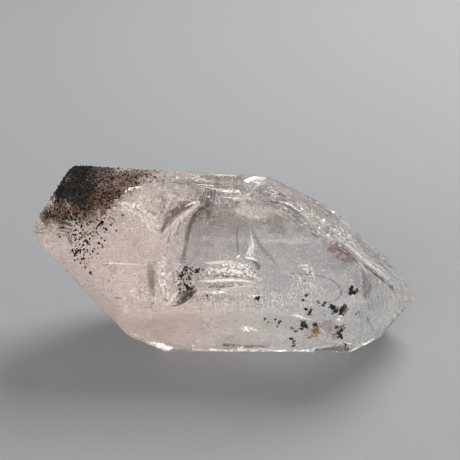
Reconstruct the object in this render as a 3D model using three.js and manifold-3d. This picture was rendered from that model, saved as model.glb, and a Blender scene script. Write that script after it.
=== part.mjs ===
// A himalayan quartz crystal: one doubly terminated crystal, lying on one of its prism faces.
// Millimetres, +Z up. +X runs along the crystal's long axis to its pointed end, and -Y is the
// front, the side with the wide conchoidal scar. The origin is the middle of the footprint's
// box, on the resting face.
import * as THREE from 'three';
import { mergeVertices } from 'three/addons/utils/BufferGeometryUtils.js';
import Module from 'manifold-3d';

const wasm = await Module();
wasm.setup();

// Driving dimensions of the whole crystal.
const AXIS_HEIGHT = 16.6; // long axis above the resting face
const QUARTZ_SLOPE = 38.2; // a rhombohedral face against the long axis, in degrees
const BLOCK = 120; // rough block that the faces are cut from
const OVERHANG = 12; // how far a cutter stands out of the face that it cuts

// The faces. `around` is where a face looks, in degrees round the long axis: 0 is the front,
// 90 the top, 180 the back. `lean` is its slope against the axis, positive on the pointed end,
// negative on the blunt end and near 0 on a prism face. `out` is its distance from the centre.
const FACES = {
  resting: { around: -90, lean: 0, out: AXIS_HEIGHT },
  top: { around: 90, lean: 2.4, out: 17.9 },
  frontUpper: { around: 28, lean: 0, out: 15.7 },
  frontLower: { around: -32, lean: 2.9, out: 15 },
  backUpper: { around: 150, lean: 0, out: 14.2 },
  backLower: { around: 210, lean: 0, out: 15.2 },
  crown: { around: 100, lean: 29, out: 19.5 },
  longSlope: { around: 98, lean: QUARTZ_SLOPE, out: 20.6 },
  tipCap: { around: 94, lean: 50, out: 25.2 },
  tipShoulder: { around: 30, lean: 42, out: 28.7 },
  tipFront: { around: -30, lean: 42, out: 27.3 },
  tipUnder: { around: -90, lean: 50, out: 34.5 },
  tipBackLower: { around: 210, lean: QUARTZ_SLOPE, out: 30.5 },
  tipBackUpper: { around: 150, lean: QUARTZ_SLOPE, out: 24.4 },
  bluntUnder: { around: -90, lean: -QUARTZ_SLOPE, out: 20.8 },
  bluntFront: { around: 20, lean: -45, out: 31.4 },
  bluntBack: { around: 150, lean: -QUARTZ_SLOPE, out: 31.9 },
  bluntEnd: { around: 92, lean: -56, out: 38.1 },
  bluntLowerFront: { around: -30, lean: -40, out: 25 },
  bluntLowerBack: { around: 210, lean: -QUARTZ_SLOPE, out: 26.5 },
};

// Edges worn round by handling and by the river: the two faces, the radius and the number of
// flat strips that stand for the round.
const WORN_EDGES = [
  ['top', 'frontUpper', 1.6, 1],
  ['top', 'backUpper', 2.2, 2],
  ['frontUpper', 'frontLower', 7, 3],
  ['backUpper', 'backLower', 4, 2],
  ['resting', 'frontLower', 1.4, 1],
  ['resting', 'backLower', 1.4, 1],
  ['top', 'crown', 6, 1],
  ['crown', 'longSlope', 8, 1],
  ['longSlope', 'backUpper', 1.6, 1],
  ['longSlope', 'frontUpper', 1.2, 1],
  ['longSlope', 'tipCap', 8, 1],
  ['longSlope', 'tipBackUpper', 2, 1],
  ['frontUpper', 'tipShoulder', 3, 1],
  ['frontLower', 'tipFront', 5, 2],
  ['tipShoulder', 'tipFront', 3, 1],
  ['tipCap', 'tipFront', 0.9, 1],
  ['tipFront', 'tipUnder', 1.6, 1],
  ['tipFront', 'resting', 2.5, 1],
  ['tipCap', 'tipBackLower', 2.2, 1],
  ['top', 'bluntEnd', 4.5, 2],
  ['bluntEnd', 'bluntFront', 2.5, 1],
  ['bluntEnd', 'bluntLowerBack', 3.5, 2],
  ['bluntEnd', 'bluntUnder', 5, 2],
  ['bluntFront', 'bluntLowerFront', 5, 2],
  ['frontUpper', 'bluntFront', 5, 2],
  ['frontUpper', 'bluntLowerFront', 6, 2],
  ['frontLower', 'bluntLowerFront', 4, 1],
  ['bluntLowerFront', 'bluntUnder', 2.2, 1],
  ['resting', 'bluntUnder', 2, 1],
  ['bluntUnder', 'bluntLowerBack', 3, 1],
];

// Unit normal of a face.
function normalOf({ around, lean }) {
  const turn = THREE.MathUtils.degToRad(around);
  const rise = THREE.MathUtils.degToRad(lean);
  return new THREE.Vector3(
    Math.sin(rise),
    -Math.cos(rise) * Math.cos(turn),
    Math.cos(rise) * Math.sin(turn),
  );
}

// A closed geometry as a solid that can be cut and joined.
function solidOf(geometry) {
  const bare = geometry.clone();
  bare.deleteAttribute('normal');
  bare.deleteAttribute('uv');
  const merged = mergeVertices(bare);
  return new wasm.Manifold(new wasm.Mesh({
    numProp: 3,
    vertProperties: new Float32Array(merged.attributes.position.array),
    triVerts: new Uint32Array(merged.index.array),
  }));
}

// Keeps what lies behind a plane, given by its normal and its distance from the centre.
function cutBehind(solid, normal, out) {
  return solid.trimByPlane([-normal.x, -normal.y, -normal.z], -out);
}

// Rounds the edge between two faces: each strip touches a round of the given radius.
function wearEdge(solid, first, second, radius, strips) {
  const a = normalOf(FACES[first]);
  const b = normalOf(FACES[second]);
  let worn = solid;
  for (let strip = 1; strip <= strips; strip += 1) {
    const share = strip / (strips + 1);
    const blend = a.clone().multiplyScalar(1 - share).addScaledVector(b, share);
    const length = blend.length();
    const partA = (1 - share) / length;
    const partB = share / length;
    const edge = partA * FACES[first].out + partB * FACES[second].out;
    worn = cutBehind(worn, blend.normalize(), edge - radius * (partA + partB - 1));
  }
  return worn;
}

// Lays a cutter on a face: `along` runs towards the pointed end and `across` up the face, both
// from the foot of the face's distance line, and `turn` is in degrees within the face.
function layOn(geometry, { face, along, across, turn = 0 }) {
  const normal = normalOf(FACES[face]);
  const length = new THREE.Vector3(1, 0, 0).addScaledVector(normal, -normal.x).normalize();
  const width = new THREE.Vector3().crossVectors(normal, length);
  const place = new THREE.Matrix4().makeBasis(length, width, normal);
  place.setPosition(
    normal.clone().multiplyScalar(FACES[face].out)
      .addScaledVector(length, along)
      .addScaledVector(width, across),
  );
  return geometry.clone().rotateZ(THREE.MathUtils.degToRad(turn)).applyMatrix4(place);
}

// An uneven outline, counterclockwise: an oval whose radius swells and shrinks as it goes round.
function unevenOutline({ length, width, points, swell, phase }) {
  return Array.from({ length: points }, (_, i) => {
    const angle = (i / points) * 2 * Math.PI;
    const radius = 1 + swell * Math.sin(3 * angle + phase) + (swell / 2) * Math.sin(5 * angle);
    return new THREE.Vector2(
      (length / 2) * radius * Math.cos(angle),
      (width / 2) * radius * Math.sin(angle),
    );
  });
}

// A closed loft through rings of equally many points, each ring counterclockwise from above.
function loft(rings) {
  const count = rings[0].length;
  const centres = [rings[0], rings.at(-1)].map((ring) => (
    ring.reduce((sum, point) => sum.add(point), new THREE.Vector3()).divideScalar(count)
  ));
  const bottom = rings.length * count;
  const index = [];
  for (let i = 0; i < count; i += 1) {
    const j = (i + 1) % count;
    for (let low = 0; low < bottom - count; low += count) {
      index.push(low + i, low + j, low + count + j, low + i, low + count + j, low + count + i);
    }
    index.push(bottom, j, i, bottom + 1, bottom - count + i, bottom - count + j);
  }
  return new THREE.BufferGeometry().setFromPoints([...rings.flat(), ...centres]).setIndex(index);
}

// A bowl that cuts down to `depth`. Its floor is the outline shrunk to the share `floor`, and
// its wall rises to the outline as a parabola (steepness 1) or more steeply (less than 1).
function bowl({ outline, centre, depth, floor, steps, steepness }) {
  const ringAt = (share, height) => outline.map((point) => {
    const { x, y } = centre.clone().lerp(point, share);
    return new THREE.Vector3(x, y, height);
  });
  const rings = [];
  for (let step = 0; step <= steps; step += 1) {
    const climb = Math.sin((step / steps) * (Math.PI / 2));
    rings.push(ringAt(floor + (1 - floor) * climb, -depth * (1 - climb ** 2) ** steepness));
  }
  rings.push(ringAt(1, OVERHANG));
  return loft(rings);
}

// A growth ledge: its floor starts `depth` under the face and runs out after `length`. A ledge
// of few points has straight sides.
const RUN_OUT = 1.2; // share of the length that the cutter goes on over
function ledge({ length, width, depth, points = 7, ...place }) {
  const outline = unevenOutline({
    length: length * RUN_OUT,
    width,
    points,
    swell: 0.12,
    phase: place.turn,
  });
  const block = loft([0, OVERHANG].map((height) => (
    outline.map(({ x, y }) => new THREE.Vector3(x, y, height))
  )));
  block.translate((length * (RUN_OUT - 1)) / 2, 0, 0);
  block.rotateY(-Math.atan(depth / length));
  block.translate(0, 0, -depth / 2);
  return solidOf(layOn(block, place));
}

// A conchoidal chip: a shallow bite with an uneven rim.
function chip({ length, width, depth, ...place }) {
  const outline = unevenOutline({ length, width, points: 18, swell: 0.08, phase: place.turn });
  const centre = new THREE.Vector2(length / 8, 0);
  const bite = bowl({ outline, centre, depth, floor: 0.2, steps: 4, steepness: 1 });
  return solidOf(layOn(bite, place));
}

// The wide conchoidal scar on the front: a deep curved wall at its left that runs down the face
// and a floor that rises until it meets the face near the pointed end.
const SCAR = { depth: 2, run: 37, floor: 0.8, steps: 5, centre: new THREE.Vector2(3.6, 3.4) };
const SCAR_RIM = [
  [-3.6, 13], [-6.4, 10.2], [-10, 8.4], [-12.4, 5.6], [-13.8, 1.6], [-14.2, -2.6], [-13, -7.2],
  [-10.2, -9.4], [-6, -6.6], [1, -5.8], [9, -7.2], [16, -7.8], [20.6, -7], [21.6, -4.6],
  [20.2, -1.8], [21.4, 2], [18, 7.4], [13, 13],
];
function windowScar() {
  const rim = new THREE.SplineCurve(SCAR_RIM.map(([x, y]) => new THREE.Vector2(x, y)));
  const bite = bowl({ ...SCAR, outline: rim.getPoints(SCAR_RIM.length * 3), steepness: 0.5 });
  const leftEdge = Math.min(...SCAR_RIM.map(([x]) => x));
  bite.translate(-leftEdge, 0, 0);
  bite.rotateY(-Math.atan(SCAR.depth / SCAR.run));
  bite.translate(leftEdge, 0, 0);
  return solidOf(layOn(bite, { face: 'frontUpper', along: 0, across: 0 }));
}

// Chips and breaks, from the blunt end to the pointed one.
const CHIPS = [
  { face: 'frontUpper', along: -9.4, across: -4.6, turn: 70, length: 9.5, width: 6, depth: 2.4 },
  { face: 'bluntEnd', along: -12.4, across: 1, turn: 90, length: 15, width: 3.4, depth: 0.8 },
  { face: 'bluntEnd', along: -6.4, across: 5, turn: 60, length: 9, width: 6, depth: 0.8 },
  { face: 'bluntLowerFront', along: -9.4, across: -3.6, turn: -18, length: 6, width: 5, depth: 0.9 },
  { face: 'bluntLowerFront', along: -15, across: -1.4, turn: -18, length: 6, width: 4, depth: 0.6 },
  { face: 'bluntLowerFront', along: -5.2, across: -6, turn: -40, length: 5, width: 4, depth: 0.8 },
  { face: 'frontLower', along: 21, across: -8.6, turn: 8, length: 9, width: 4.4, depth: 0.8 },
  { face: 'tipFront', along: 22.4, across: -8.4, turn: 40, length: 4.4, width: 3.2, depth: 0.7 },
  { face: 'tipCap', along: 29.6, across: 4.4, turn: 60, length: 5, width: 3, depth: 0.5 },
  { face: 'tipBackLower', along: 21, across: 4, turn: 20, length: 8, width: 5, depth: 1 },
  { face: 'backUpper', along: -24, across: 2, turn: 20, length: 15, width: 9, depth: 1.5 },
  { face: 'backLower', along: 5, across: 5, turn: 20, length: 12, width: 6, depth: 1 },
  { face: 'bluntLowerBack', along: -20, across: -7, turn: 10, length: 10, width: 5, depth: 0.9 },
];

// Growth ledges on the top and on the prism faces, which cross the long axis. Those wider than
// their face step right across it.
const LEDGES = [
  { face: 'top', along: 1.4, across: -5.4, turn: 184, length: 8, width: 4.6, depth: 0.5 },
  { face: 'top', along: -5, across: -1.4, turn: 164, length: 6, width: 5, depth: 0.45 },
  { face: 'top', along: -17, across: -6, turn: 10, length: 8, width: 4, depth: 0.4 },
  { face: 'top', along: 5, across: 2.6, turn: 22, length: 7, width: 4, depth: 0.5 },
  { face: 'frontLower', along: -10, across: 3, turn: 178, length: 12, width: 26, depth: 0.35 },
  { face: 'frontLower', along: 5, across: -5, turn: 4, length: 15, width: 7, depth: 0.4 },
  { face: 'frontUpper', along: -21, across: 0, turn: 183, length: 9, width: 32, depth: 0.3 },
  { face: 'backUpper', along: -7, across: 0, turn: 1, length: 12, width: 44, depth: 0.5 },
  { face: 'backUpper', along: 8, across: 0, turn: 181, length: 9, width: 44, depth: 0.5 },
  { face: 'backLower', along: -13, across: 1, turn: 2, length: 11, width: 44, depth: 0.5 },
  { face: 'backLower', along: 19, across: 2, turn: 181, length: 8, width: 44, depth: 0.5 },
];

// Overlapping growth scales on the long slope and the crown, like low shingles that point down
// the slope. Each row steps down the slope and every scale drifts sideways by a fixed share.
const SCALES = { rows: 5, perRow: 5, pitch: 4.4, spread: 4.6, length: 7.4, width: 3.4, depth: 0.6 };
const SCALE_START = { along: 3, across: -10.4 };
const GOLDEN = 0.618;
function slopeScales() {
  const scales = [];
  for (let row = 0; row < SCALES.rows; row += 1) {
    for (let place = 0; place < SCALES.perRow; place += 1) {
      const count = row * SCALES.perRow + place + 1;
      const drift = (count * GOLDEN) % 1;
      const size = 0.7 + 0.6 * ((count * GOLDEN * 3) % 1);
      scales.push(ledge({
        face: 'longSlope',
        along: SCALE_START.along + row * SCALES.pitch + 2 * drift,
        across: SCALE_START.across + place * SCALES.spread + 2 * drift,
        turn: -16 + 32 * drift,
        length: SCALES.length * size,
        width: SCALES.width * size,
        depth: SCALES.depth * size,
        points: 5,
      }));
    }
  }
  return scales;
}

// The crystal grows as flat faces, is worn along its edges and is then chipped and stepped.
function crystalSolid() {
  let crystal = solidOf(new THREE.BoxGeometry(BLOCK, BLOCK, BLOCK));
  for (const face of Object.values(FACES)) {
    crystal = cutBehind(crystal, normalOf(face), face.out);
  }
  for (const [first, second, radius, strips] of WORN_EDGES) {
    crystal = wearEdge(crystal, first, second, radius, strips);
  }
  const cutters = [...slopeScales(), ...LEDGES.map(ledge), ...CHIPS.map(chip), windowScar()];
  for (const cutter of cutters) {
    crystal = crystal.subtract(cutter);
  }
  return crystal;
}

// A solid's triangles, moved so that the origin is the middle of its box's underside.
function standingGeometry(solid) {
  const mesh = solid.getMesh();
  const geometry = new THREE.BufferGeometry();
  geometry.setAttribute('position', new THREE.BufferAttribute(mesh.vertProperties, 3));
  geometry.setIndex(new THREE.BufferAttribute(mesh.triVerts, 1));
  geometry.computeBoundingBox();
  const { min, max } = geometry.boundingBox;
  geometry.translate(-(min.x + max.x) / 2, -(min.y + max.y) / 2, -min.z);
  geometry.computeVertexNormals();
  return geometry;
}

const quartz = new THREE.MeshStandardMaterial({
  color: 0xc4b5ab,
  roughness: 0.22,
  metalness: 0,
  transparent: true,
  opacity: 0.72,
  flatShading: true,
});

const crystal = new THREE.Mesh(standingGeometry(crystalSolid()), quartz);
crystal.name = 'quartz_crystal';

const specimen = new THREE.Group();
specimen.add(crystal);

export default specimen;
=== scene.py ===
import math
import random

import bmesh
import bpy
from mathutils import Matrix, Vector, noise
from mathutils.bvhtree import BVHTree
from mathutils.kdtree import KDTree


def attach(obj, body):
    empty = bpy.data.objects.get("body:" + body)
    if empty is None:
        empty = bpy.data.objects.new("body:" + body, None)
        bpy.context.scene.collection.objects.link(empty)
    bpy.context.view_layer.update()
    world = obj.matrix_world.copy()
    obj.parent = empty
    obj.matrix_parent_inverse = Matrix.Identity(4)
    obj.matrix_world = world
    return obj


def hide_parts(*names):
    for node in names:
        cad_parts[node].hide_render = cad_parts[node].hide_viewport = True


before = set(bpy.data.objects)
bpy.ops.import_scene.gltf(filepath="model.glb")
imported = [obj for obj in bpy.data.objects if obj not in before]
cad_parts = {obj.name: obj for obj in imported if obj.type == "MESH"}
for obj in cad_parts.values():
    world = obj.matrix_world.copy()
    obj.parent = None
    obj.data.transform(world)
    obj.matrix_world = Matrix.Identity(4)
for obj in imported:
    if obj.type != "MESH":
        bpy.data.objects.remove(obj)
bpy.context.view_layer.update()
scene = bpy.context.scene
MM = 0.001


# Camera. It stands in front of the crystal, four degrees round towards the pointed end, and looks
# down at 24 degrees with a long lens. At the crystal a pixel of the square picture is 0.2 mm.
PICTURE_SIDE = 460
CAMERA_TARGET = Vector((0.642, 0.390, 24.43)) * MM
CAMERA_DISTANCE = 235 * MM
CAMERA_RISE = math.radians(24)
CAMERA_TURN = math.radians(4)
CAMERA_LENS = 90
SENSOR = 36

camera_data = bpy.data.cameras.new("camera")
camera_data.lens = CAMERA_LENS
camera_data.sensor_width = SENSOR
camera_data.clip_start = 0.01
camera = bpy.data.objects.new("camera", camera_data)
scene.collection.objects.link(camera)
camera.location = CAMERA_TARGET + CAMERA_DISTANCE * Vector((
    math.sin(CAMERA_TURN) * math.cos(CAMERA_RISE),
    -math.cos(CAMERA_TURN) * math.cos(CAMERA_RISE),
    math.sin(CAMERA_RISE),
))
camera.rotation_euler = (CAMERA_TARGET - camera.location).to_track_quat("-Z", "Y").to_euler()
scene.camera = camera
bpy.context.view_layer.update()


# The direction in which the camera sees a pixel of the picture.
def looking_at(across, down):
    focal = CAMERA_LENS / SENSOR * PICTURE_SIDE
    middle = PICTURE_SIDE / 2
    away = Vector(((across - middle) / focal, (middle - down) / focal, -1))
    return (camera.matrix_world.to_3x3() @ away).normalized()


# Quartz crystal. One doubly terminated crystal, grown in one piece: six prism faces round its long
# axis and sloping faces that close both ends. The faces keep the fine relief of growth: lines
# across the prism faces, shingled scales on the long slope and a pitted blunt end.
QUARTZ_IOR = 1.544
VOXEL = 0.34 * MM
MERGE = 0.001 * MM
# The middle of the crystal in the picture, and what a pixel measures there.
CRYSTAL_PIXEL = (225, 262)
PIXEL_MM = 0.2043
PULL_STEPS = 50

crystal_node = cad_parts["quartz_crystal"]
shell = bmesh.new()
shell.from_mesh(crystal_node.data)
bmesh.ops.remove_doubles(shell, verts=shell.verts, dist=MERGE)
shell_mesh = bpy.data.meshes.new("crystal_shell")
shell.to_mesh(shell_mesh)
flat_faces = BVHTree.FromBMesh(shell)
shell.free()


# Where the camera meets a surface of the crystal at a pixel, and the direction in which its sight
# goes on inside. A pixel just past the outline is drawn in towards the crystal's middle by steps,
# half way at most.
def sight(across, down, surface):
    for pull in range(PULL_STEPS):
        share = pull / PULL_STEPS / 2
        x = across + (CRYSTAL_PIXEL[0] - across) * share
        y = down + (CRYSTAL_PIXEL[1] - down) * share
        ray = looking_at(x, y)
        spot, normal, _, _ = surface.ray_cast(camera.location, ray)
        if spot is not None:
            break
    facing = -normal.dot(ray)
    bend = 1 / QUARTZ_IOR
    into = bend * ray + (bend * facing - math.sqrt(1 - bend**2 * (1 - facing**2))) * normal
    return spot, into.normalized()


# A new object that holds a mesh, in the scene.
def placed(name, mesh):
    piece = bpy.data.objects.new(name, mesh)
    scene.collection.objects.link(piece)
    return piece


# The evaluated result of an object's modifiers as a plain mesh, with the modifiers taken off.
def settled(piece):
    graph = bpy.context.evaluated_depsgraph_get()
    graph.update()
    result = bpy.data.meshes.new_from_object(piece.evaluated_get(graph))
    piece.modifiers.clear()
    piece.data = result
    result.name = piece.name
    return piece


# An even skin of the crystal, with faces of about `voxel`. It is made at a thousand times the
# size, where the remesher's own tolerances are small.
def even_skin(name, voxel):
    mesh = shell_mesh.copy()
    mesh.transform(Matrix.Scale(1 / MM, 4))
    piece = placed(name, mesh)
    remesh = piece.modifiers.new("even", "REMESH")
    remesh.mode = "VOXEL"
    remesh.voxel_size = voxel / MM
    settled(piece)
    piece.data.transform(Matrix.Scale(MM, 4))
    return piece


# How far a value has come from low to high, from 0 to 1, with soft ends.
def smooth_step(low, high, value):
    share = min(max((value - low) / (high - low), 0), 1)
    return share * share * (3 - 2 * share)


# The relief of growth, in mm. The skin is first swelled, so that the relief that is cut into it
# stays near the flat faces, and nothing is cut in the band that rests on the floor.
SKIN_SWELL = 0.16
RESTING_BAND = 0.25
SWELLS = {"depth": 0.05, "size": 6.0}
GRAINS = {"depth": 0.03, "size": 1.2}
LINES = {"depth": 0.05, "pitch": 0.9, "length": 14, "patch": (9, 7, 5), "patch_edge": (-0.1, 0.35)}
SCALES = {"depth": 0.13, "length": 3.0, "width": 1.1, "waver": 0.6, "waver_size": 3, "shift": 2.3}
PITS = {"depth": 0.3, "size": 1.5}
# How rough a noise of several octaves is, the step from one to the next, and how many there are.
FRACTAL = (0.6, 2.0, 3)
# Which faces carry the lines, the scales and the pits, by the part of a face's normal along the
# long axis or upwards: the relief comes in between the two numbers. The pits also come in between
# two heights in mm.
PRISM_FACES = (0.15, 0.35)
SLOPE_ALONG = (0.3, 0.55)
SLOPE_UP = (0.3, 0.6)
BLUNT_FACES = (0.35, 0.6)
BLUNT_HEIGHTS = (12, 20)


# Fine lines across the long axis, in patches.
def growth_lines(spot):
    across, deep, high = LINES["patch"]
    patch = noise.noise(Vector((spot.x / across, spot.y / deep, spot.z / high + 4)))
    length = LINES["length"]
    line = noise.noise(Vector((spot.x / LINES["pitch"], spot.y / length, spot.z / length)))
    return LINES["depth"] * smooth_step(*LINES["patch_edge"], patch) * abs(line)


# Rows of scales that run down the long slope. Each scale is deepest at its lower end, and the
# numbers given to the cell noise only pick places in it.
def growth_scales(spot):
    down = (spot.x - spot.z) / math.sqrt(2)
    cross = spot.y + SCALES["waver"] * noise.noise(spot / SCALES["waver_size"])
    row = math.floor(cross / SCALES["width"])
    start = noise.cell(Vector((row * 1.7, 3.1, 0.4))) * SCALES["shift"]
    along = down / SCALES["length"] + start
    size = 0.4 + 0.6 * abs(noise.cell(Vector((row * 2.3, math.floor(along), 9))))
    return SCALES["depth"] * size * (along % 1)


# Pits of the blunt end.
def growth_pits(spot):
    return PITS["depth"] * abs(noise.fractal(spot / PITS["size"], *FRACTAL))


# How deep a point of the crystal's skin lies under its flat face, in mm. `spot` is in mm.
def growth_relief(spot, normal):
    prism = 1 - smooth_step(*PRISM_FACES, abs(normal.x))
    slope = smooth_step(*SLOPE_ALONG, normal.x) * smooth_step(*SLOPE_UP, normal.z)
    blunt = smooth_step(*BLUNT_FACES, -normal.x) * smooth_step(*BLUNT_HEIGHTS, spot.z)
    depth = SWELLS["depth"] * (0.5 + 0.5 * noise.noise(spot / SWELLS["size"]))
    depth += GRAINS["depth"] * (0.5 + 0.5 * noise.noise(spot / GRAINS["size"]))
    depth += prism * growth_lines(spot)
    depth += slope * growth_scales(spot)
    depth += blunt * growth_pits(spot)
    return depth


# Steps and ribs that the fractures left: pixels of the route, then the width in pixels and the
# depth in mm. They follow the rim of the conchoidal scar, the growth steps of the top, the pit
# under the scar and the ribs of the tip.
CURVE_STEPS = 8
RIBS = [
    ([(160, 238), (164, 227), (171, 217), (181, 210), (192, 206), (206, 203)], 8, 0.34),
    ([(213, 203), (207, 208), (198, 213), (192, 221), (188, 231), (186, 246), (181, 262)], 8, 0.3),
    ([(170, 229), (169, 238), (166, 250), (162, 262)], 5, 0.14),
    ([(150, 256), (151, 272), (152, 288), (156, 300)], 9, 0.16),
    ([(168, 306), (178, 305), (188, 299), (197, 290)], 5, 0.28),
    ([(178, 303), (186, 297), (194, 288)], 9, 0.3),
    ([(247, 214), (249, 230), (251, 246), (254, 262)], 5, 0.2),
    ([(241, 219), (238, 234), (239, 250), (235, 262)], 4, 0.1),
    ([(198, 264), (214, 264), (232, 265), (250, 272)], 5, 0.16),
    ([(200, 277), (218, 277), (240, 278), (260, 284)], 4, 0.16),
    ([(196, 289), (214, 292), (234, 288), (262, 285)], 4, 0.16),
    ([(283, 273), (302, 274), (320, 276), (334, 282), (341, 290), (338, 298), (326, 303), (303, 300)],
     4, 0.12),
    ([(320, 236), (332, 246), (345, 254), (358, 264)], 6, 0.14),
    ([(288, 313), (300, 317), (322, 321)], 5, 0.2),
    ([(366, 274), (370, 288), (368, 304)], 6, 0.18),
    ([(370, 285), (378, 277), (388, 282), (392, 294), (388, 308), (380, 318)], 5, 0.28),
    ([(375, 294), (380, 287), (386, 293), (383, 304), (377, 310)], 4, 0.22),
    ([(360, 262), (372, 272), (384, 281), (394, 291), (397, 300)], 3, 0.22),
    ([(364, 268), (366, 284), (363, 300)], 5, 0.2),
    ([(398, 284), (404, 292), (402, 304)], 4, 0.16),
    ([(194, 185), (214, 187), (236, 190), (258, 196)], 4, 0.2),
    ([(228, 203), (246, 203), (270, 206), (300, 214)], 4, 0.12),
    ([(256, 187), (270, 193), (286, 199), (304, 210)], 5, 0.16),
    ([(105, 206), (120, 202), (136, 206), (149, 217), (156, 230)], 5, 0.1),
    ([(114, 214), (128, 211), (140, 217), (148, 230)], 4, 0.08),
    ([(38, 222), (52, 219), (66, 223), (78, 229)], 5, 0.14),
    ([(96, 262), (120, 261), (148, 263)], 3, 0.07),
    ([(112, 292), (126, 296), (138, 300)], 4, 0.1),
]


# Where the fractures crushed the crystal to crumbs, whose size and depth are in mm. The crumbs are cut into
# the relief, and a white film over them is painted sparkle that stands in for their glints. Each stop of a
# route is a pixel and a width in pixels, then come the share that is crushed and the depth of the crumbs'
# film in mm.
CRUMB_SIZE = 0.75
CRUMB_DEPTH = 0.4
CRUSHED_RELIEF_AND_SPARKLES = [
    ([(164, 246, 6), (161, 260, 12), (161, 276, 14), (165, 292, 14), (172, 306, 6)], 1.0, 0.07),
    ([(176, 262, 8), (180, 274, 12), (176, 290, 10)], 0.8, 0.12),
    ([(100, 210, 4), (118, 206, 14), (138, 210, 22), (152, 222, 16), (158, 236, 4)], 0.7, 0.087),
    ([(196, 276, 4), (212, 273, 18), (236, 271, 20), (256, 277, 10), (264, 284, 2)], 0.9, 0.1),
    ([(198, 288, 3), (216, 288, 8), (240, 286, 6), (262, 284, 2)], 0.9, 0.087),
    ([(296, 264, 5), (306, 268, 12), (316, 276, 6)], 1.0, 0.07),
    ([(284, 272, 3), (300, 280, 8), (318, 286, 3)], 0.7, 0.1),
    ([(152, 174, 4), (172, 177, 8), (196, 180, 10), (212, 183, 4)], 0.9, 0.052),
    ([(206, 186, 3), (222, 190, 10), (240, 196, 10), (258, 201, 3)], 1.0, 0.052),
    ([(244, 182, 5), (262, 186, 14), (284, 198, 14), (304, 214, 5)], 0.9, 0.052),
    ([(296, 200, 6), (320, 218, 18), (346, 236, 18), (362, 250, 6)], 0.7, 0.052),
    ([(262, 186, 4), (285, 197, 7), (308, 212, 7), (338, 236, 7), (362, 256, 7), (392, 282, 5)],
     1.0, 0.05),
    ([(352, 254, 6), (370, 266, 16), (392, 282, 14), (404, 296, 5)], 0.7, 0.052),
    ([(366, 288, 5), (376, 304, 16), (378, 320, 6)], 0.6, 0.1),
    ([(320, 308, 4), (332, 322, 12), (336, 338, 8)], 0.6, 0.1),
    ([(236, 262, 3), (244, 266, 8), (256, 271, 5)], 1.0, 0.052),
    ([(288, 312, 3), (297, 316, 7), (308, 320, 3)], 1.0, 0.07),
    ([(166, 206, 3), (176, 200, 8), (192, 197, 4)], 0.8, 0.07),
]


# Points along a smooth curve through a route's stops.
def curve_through(route, steps):
    points = []
    for stop in range(len(route) - 1):
        a, b, c, d = (Vector(route[min(max(stop + step, 0), len(route) - 1)]) for step in (-1, 0, 1, 2))
        for share in (step / steps for step in range(steps)):
            points.append(0.5 * (
                2 * b + (c - a) * share + (2 * a - 5 * b + 4 * c - d) * share**2
                + (3 * b - a - 3 * c + d) * share**3
            ))
    return points + [Vector(route[-1])]


# How much of some routes' effect reaches a point of the skin: each route has stops of a pixel and
# a width in pixels, and the most that its effect is in its middle.
def reach_of(routes):
    marks = []
    for route, most in routes:
        curve = curve_through(route, CURVE_STEPS)
        for number, (across, down, width) in enumerate(curve):
            spot, _ = sight(across, down, flat_faces)
            ends = math.sin(math.pi * (number + 0.5) / len(curve)) ** 0.5
            marks.append((spot, max(width, 1) * PIXEL_MM / 2 * MM, most * ends))
    tree = KDTree(len(marks))
    for number, (spot, _, _) in enumerate(marks):
        tree.insert(spot, number)
    tree.balance()
    widest = max(width for _, width, _ in marks)

    def reach(spot):
        most_here = 0
        for _, number, away in tree.find_range(spot, widest):
            _, width, most = marks[number]
            if away < width:
                most_here = max(most_here, most * (1 - (away / width) ** 2))
        return most_here

    return reach


rib_depth = reach_of([([(x, y, width) for x, y in route], depth) for route, width, depth in RIBS])
crushed_share = reach_of([(route, share) for route, share, _ in CRUSHED_RELIEF_AND_SPARKLES])
crystal = even_skin("quartz_body", VOXEL)
relief = crystal.data
grown = []
for vertex in relief.vertices:
    spot = vertex.co / MM
    if spot.z > RESTING_BAND:
        depth = growth_relief(spot, vertex.normal) + rib_depth(vertex.co) - SKIN_SWELL
        crumbs = abs(noise.noise(spot / CRUMB_SIZE))
        spot -= vertex.normal * (depth + CRUMB_DEPTH * crumbs * crushed_share(vertex.co))
    grown.extend(spot * MM)
relief.vertices.foreach_set("co", grown)
relief.update()
relief.shade_smooth()
grown_skin = BVHTree.FromPolygons(
    [vertex.co for vertex in relief.vertices], [face.vertices for face in relief.polygons]
)


# A point inside stays short of the far side by a share of the way, and the far side is looked for
# from a little past the skin.
PAST_SKIN = 0.5 * MM
MOST_OF_THE_WAY = 0.9


# The point that the camera sees at a pixel, `depth` mm under the skin with all its relief.
def inside(across, down, depth):
    spot, into = sight(across, down, grown_skin)
    _, _, _, through = flat_faces.ray_cast(spot + into * PAST_SKIN, into)
    room = through if through is not None else depth * MM
    return spot + into * min(depth * MM, room * MOST_OF_THE_WAY)
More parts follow.
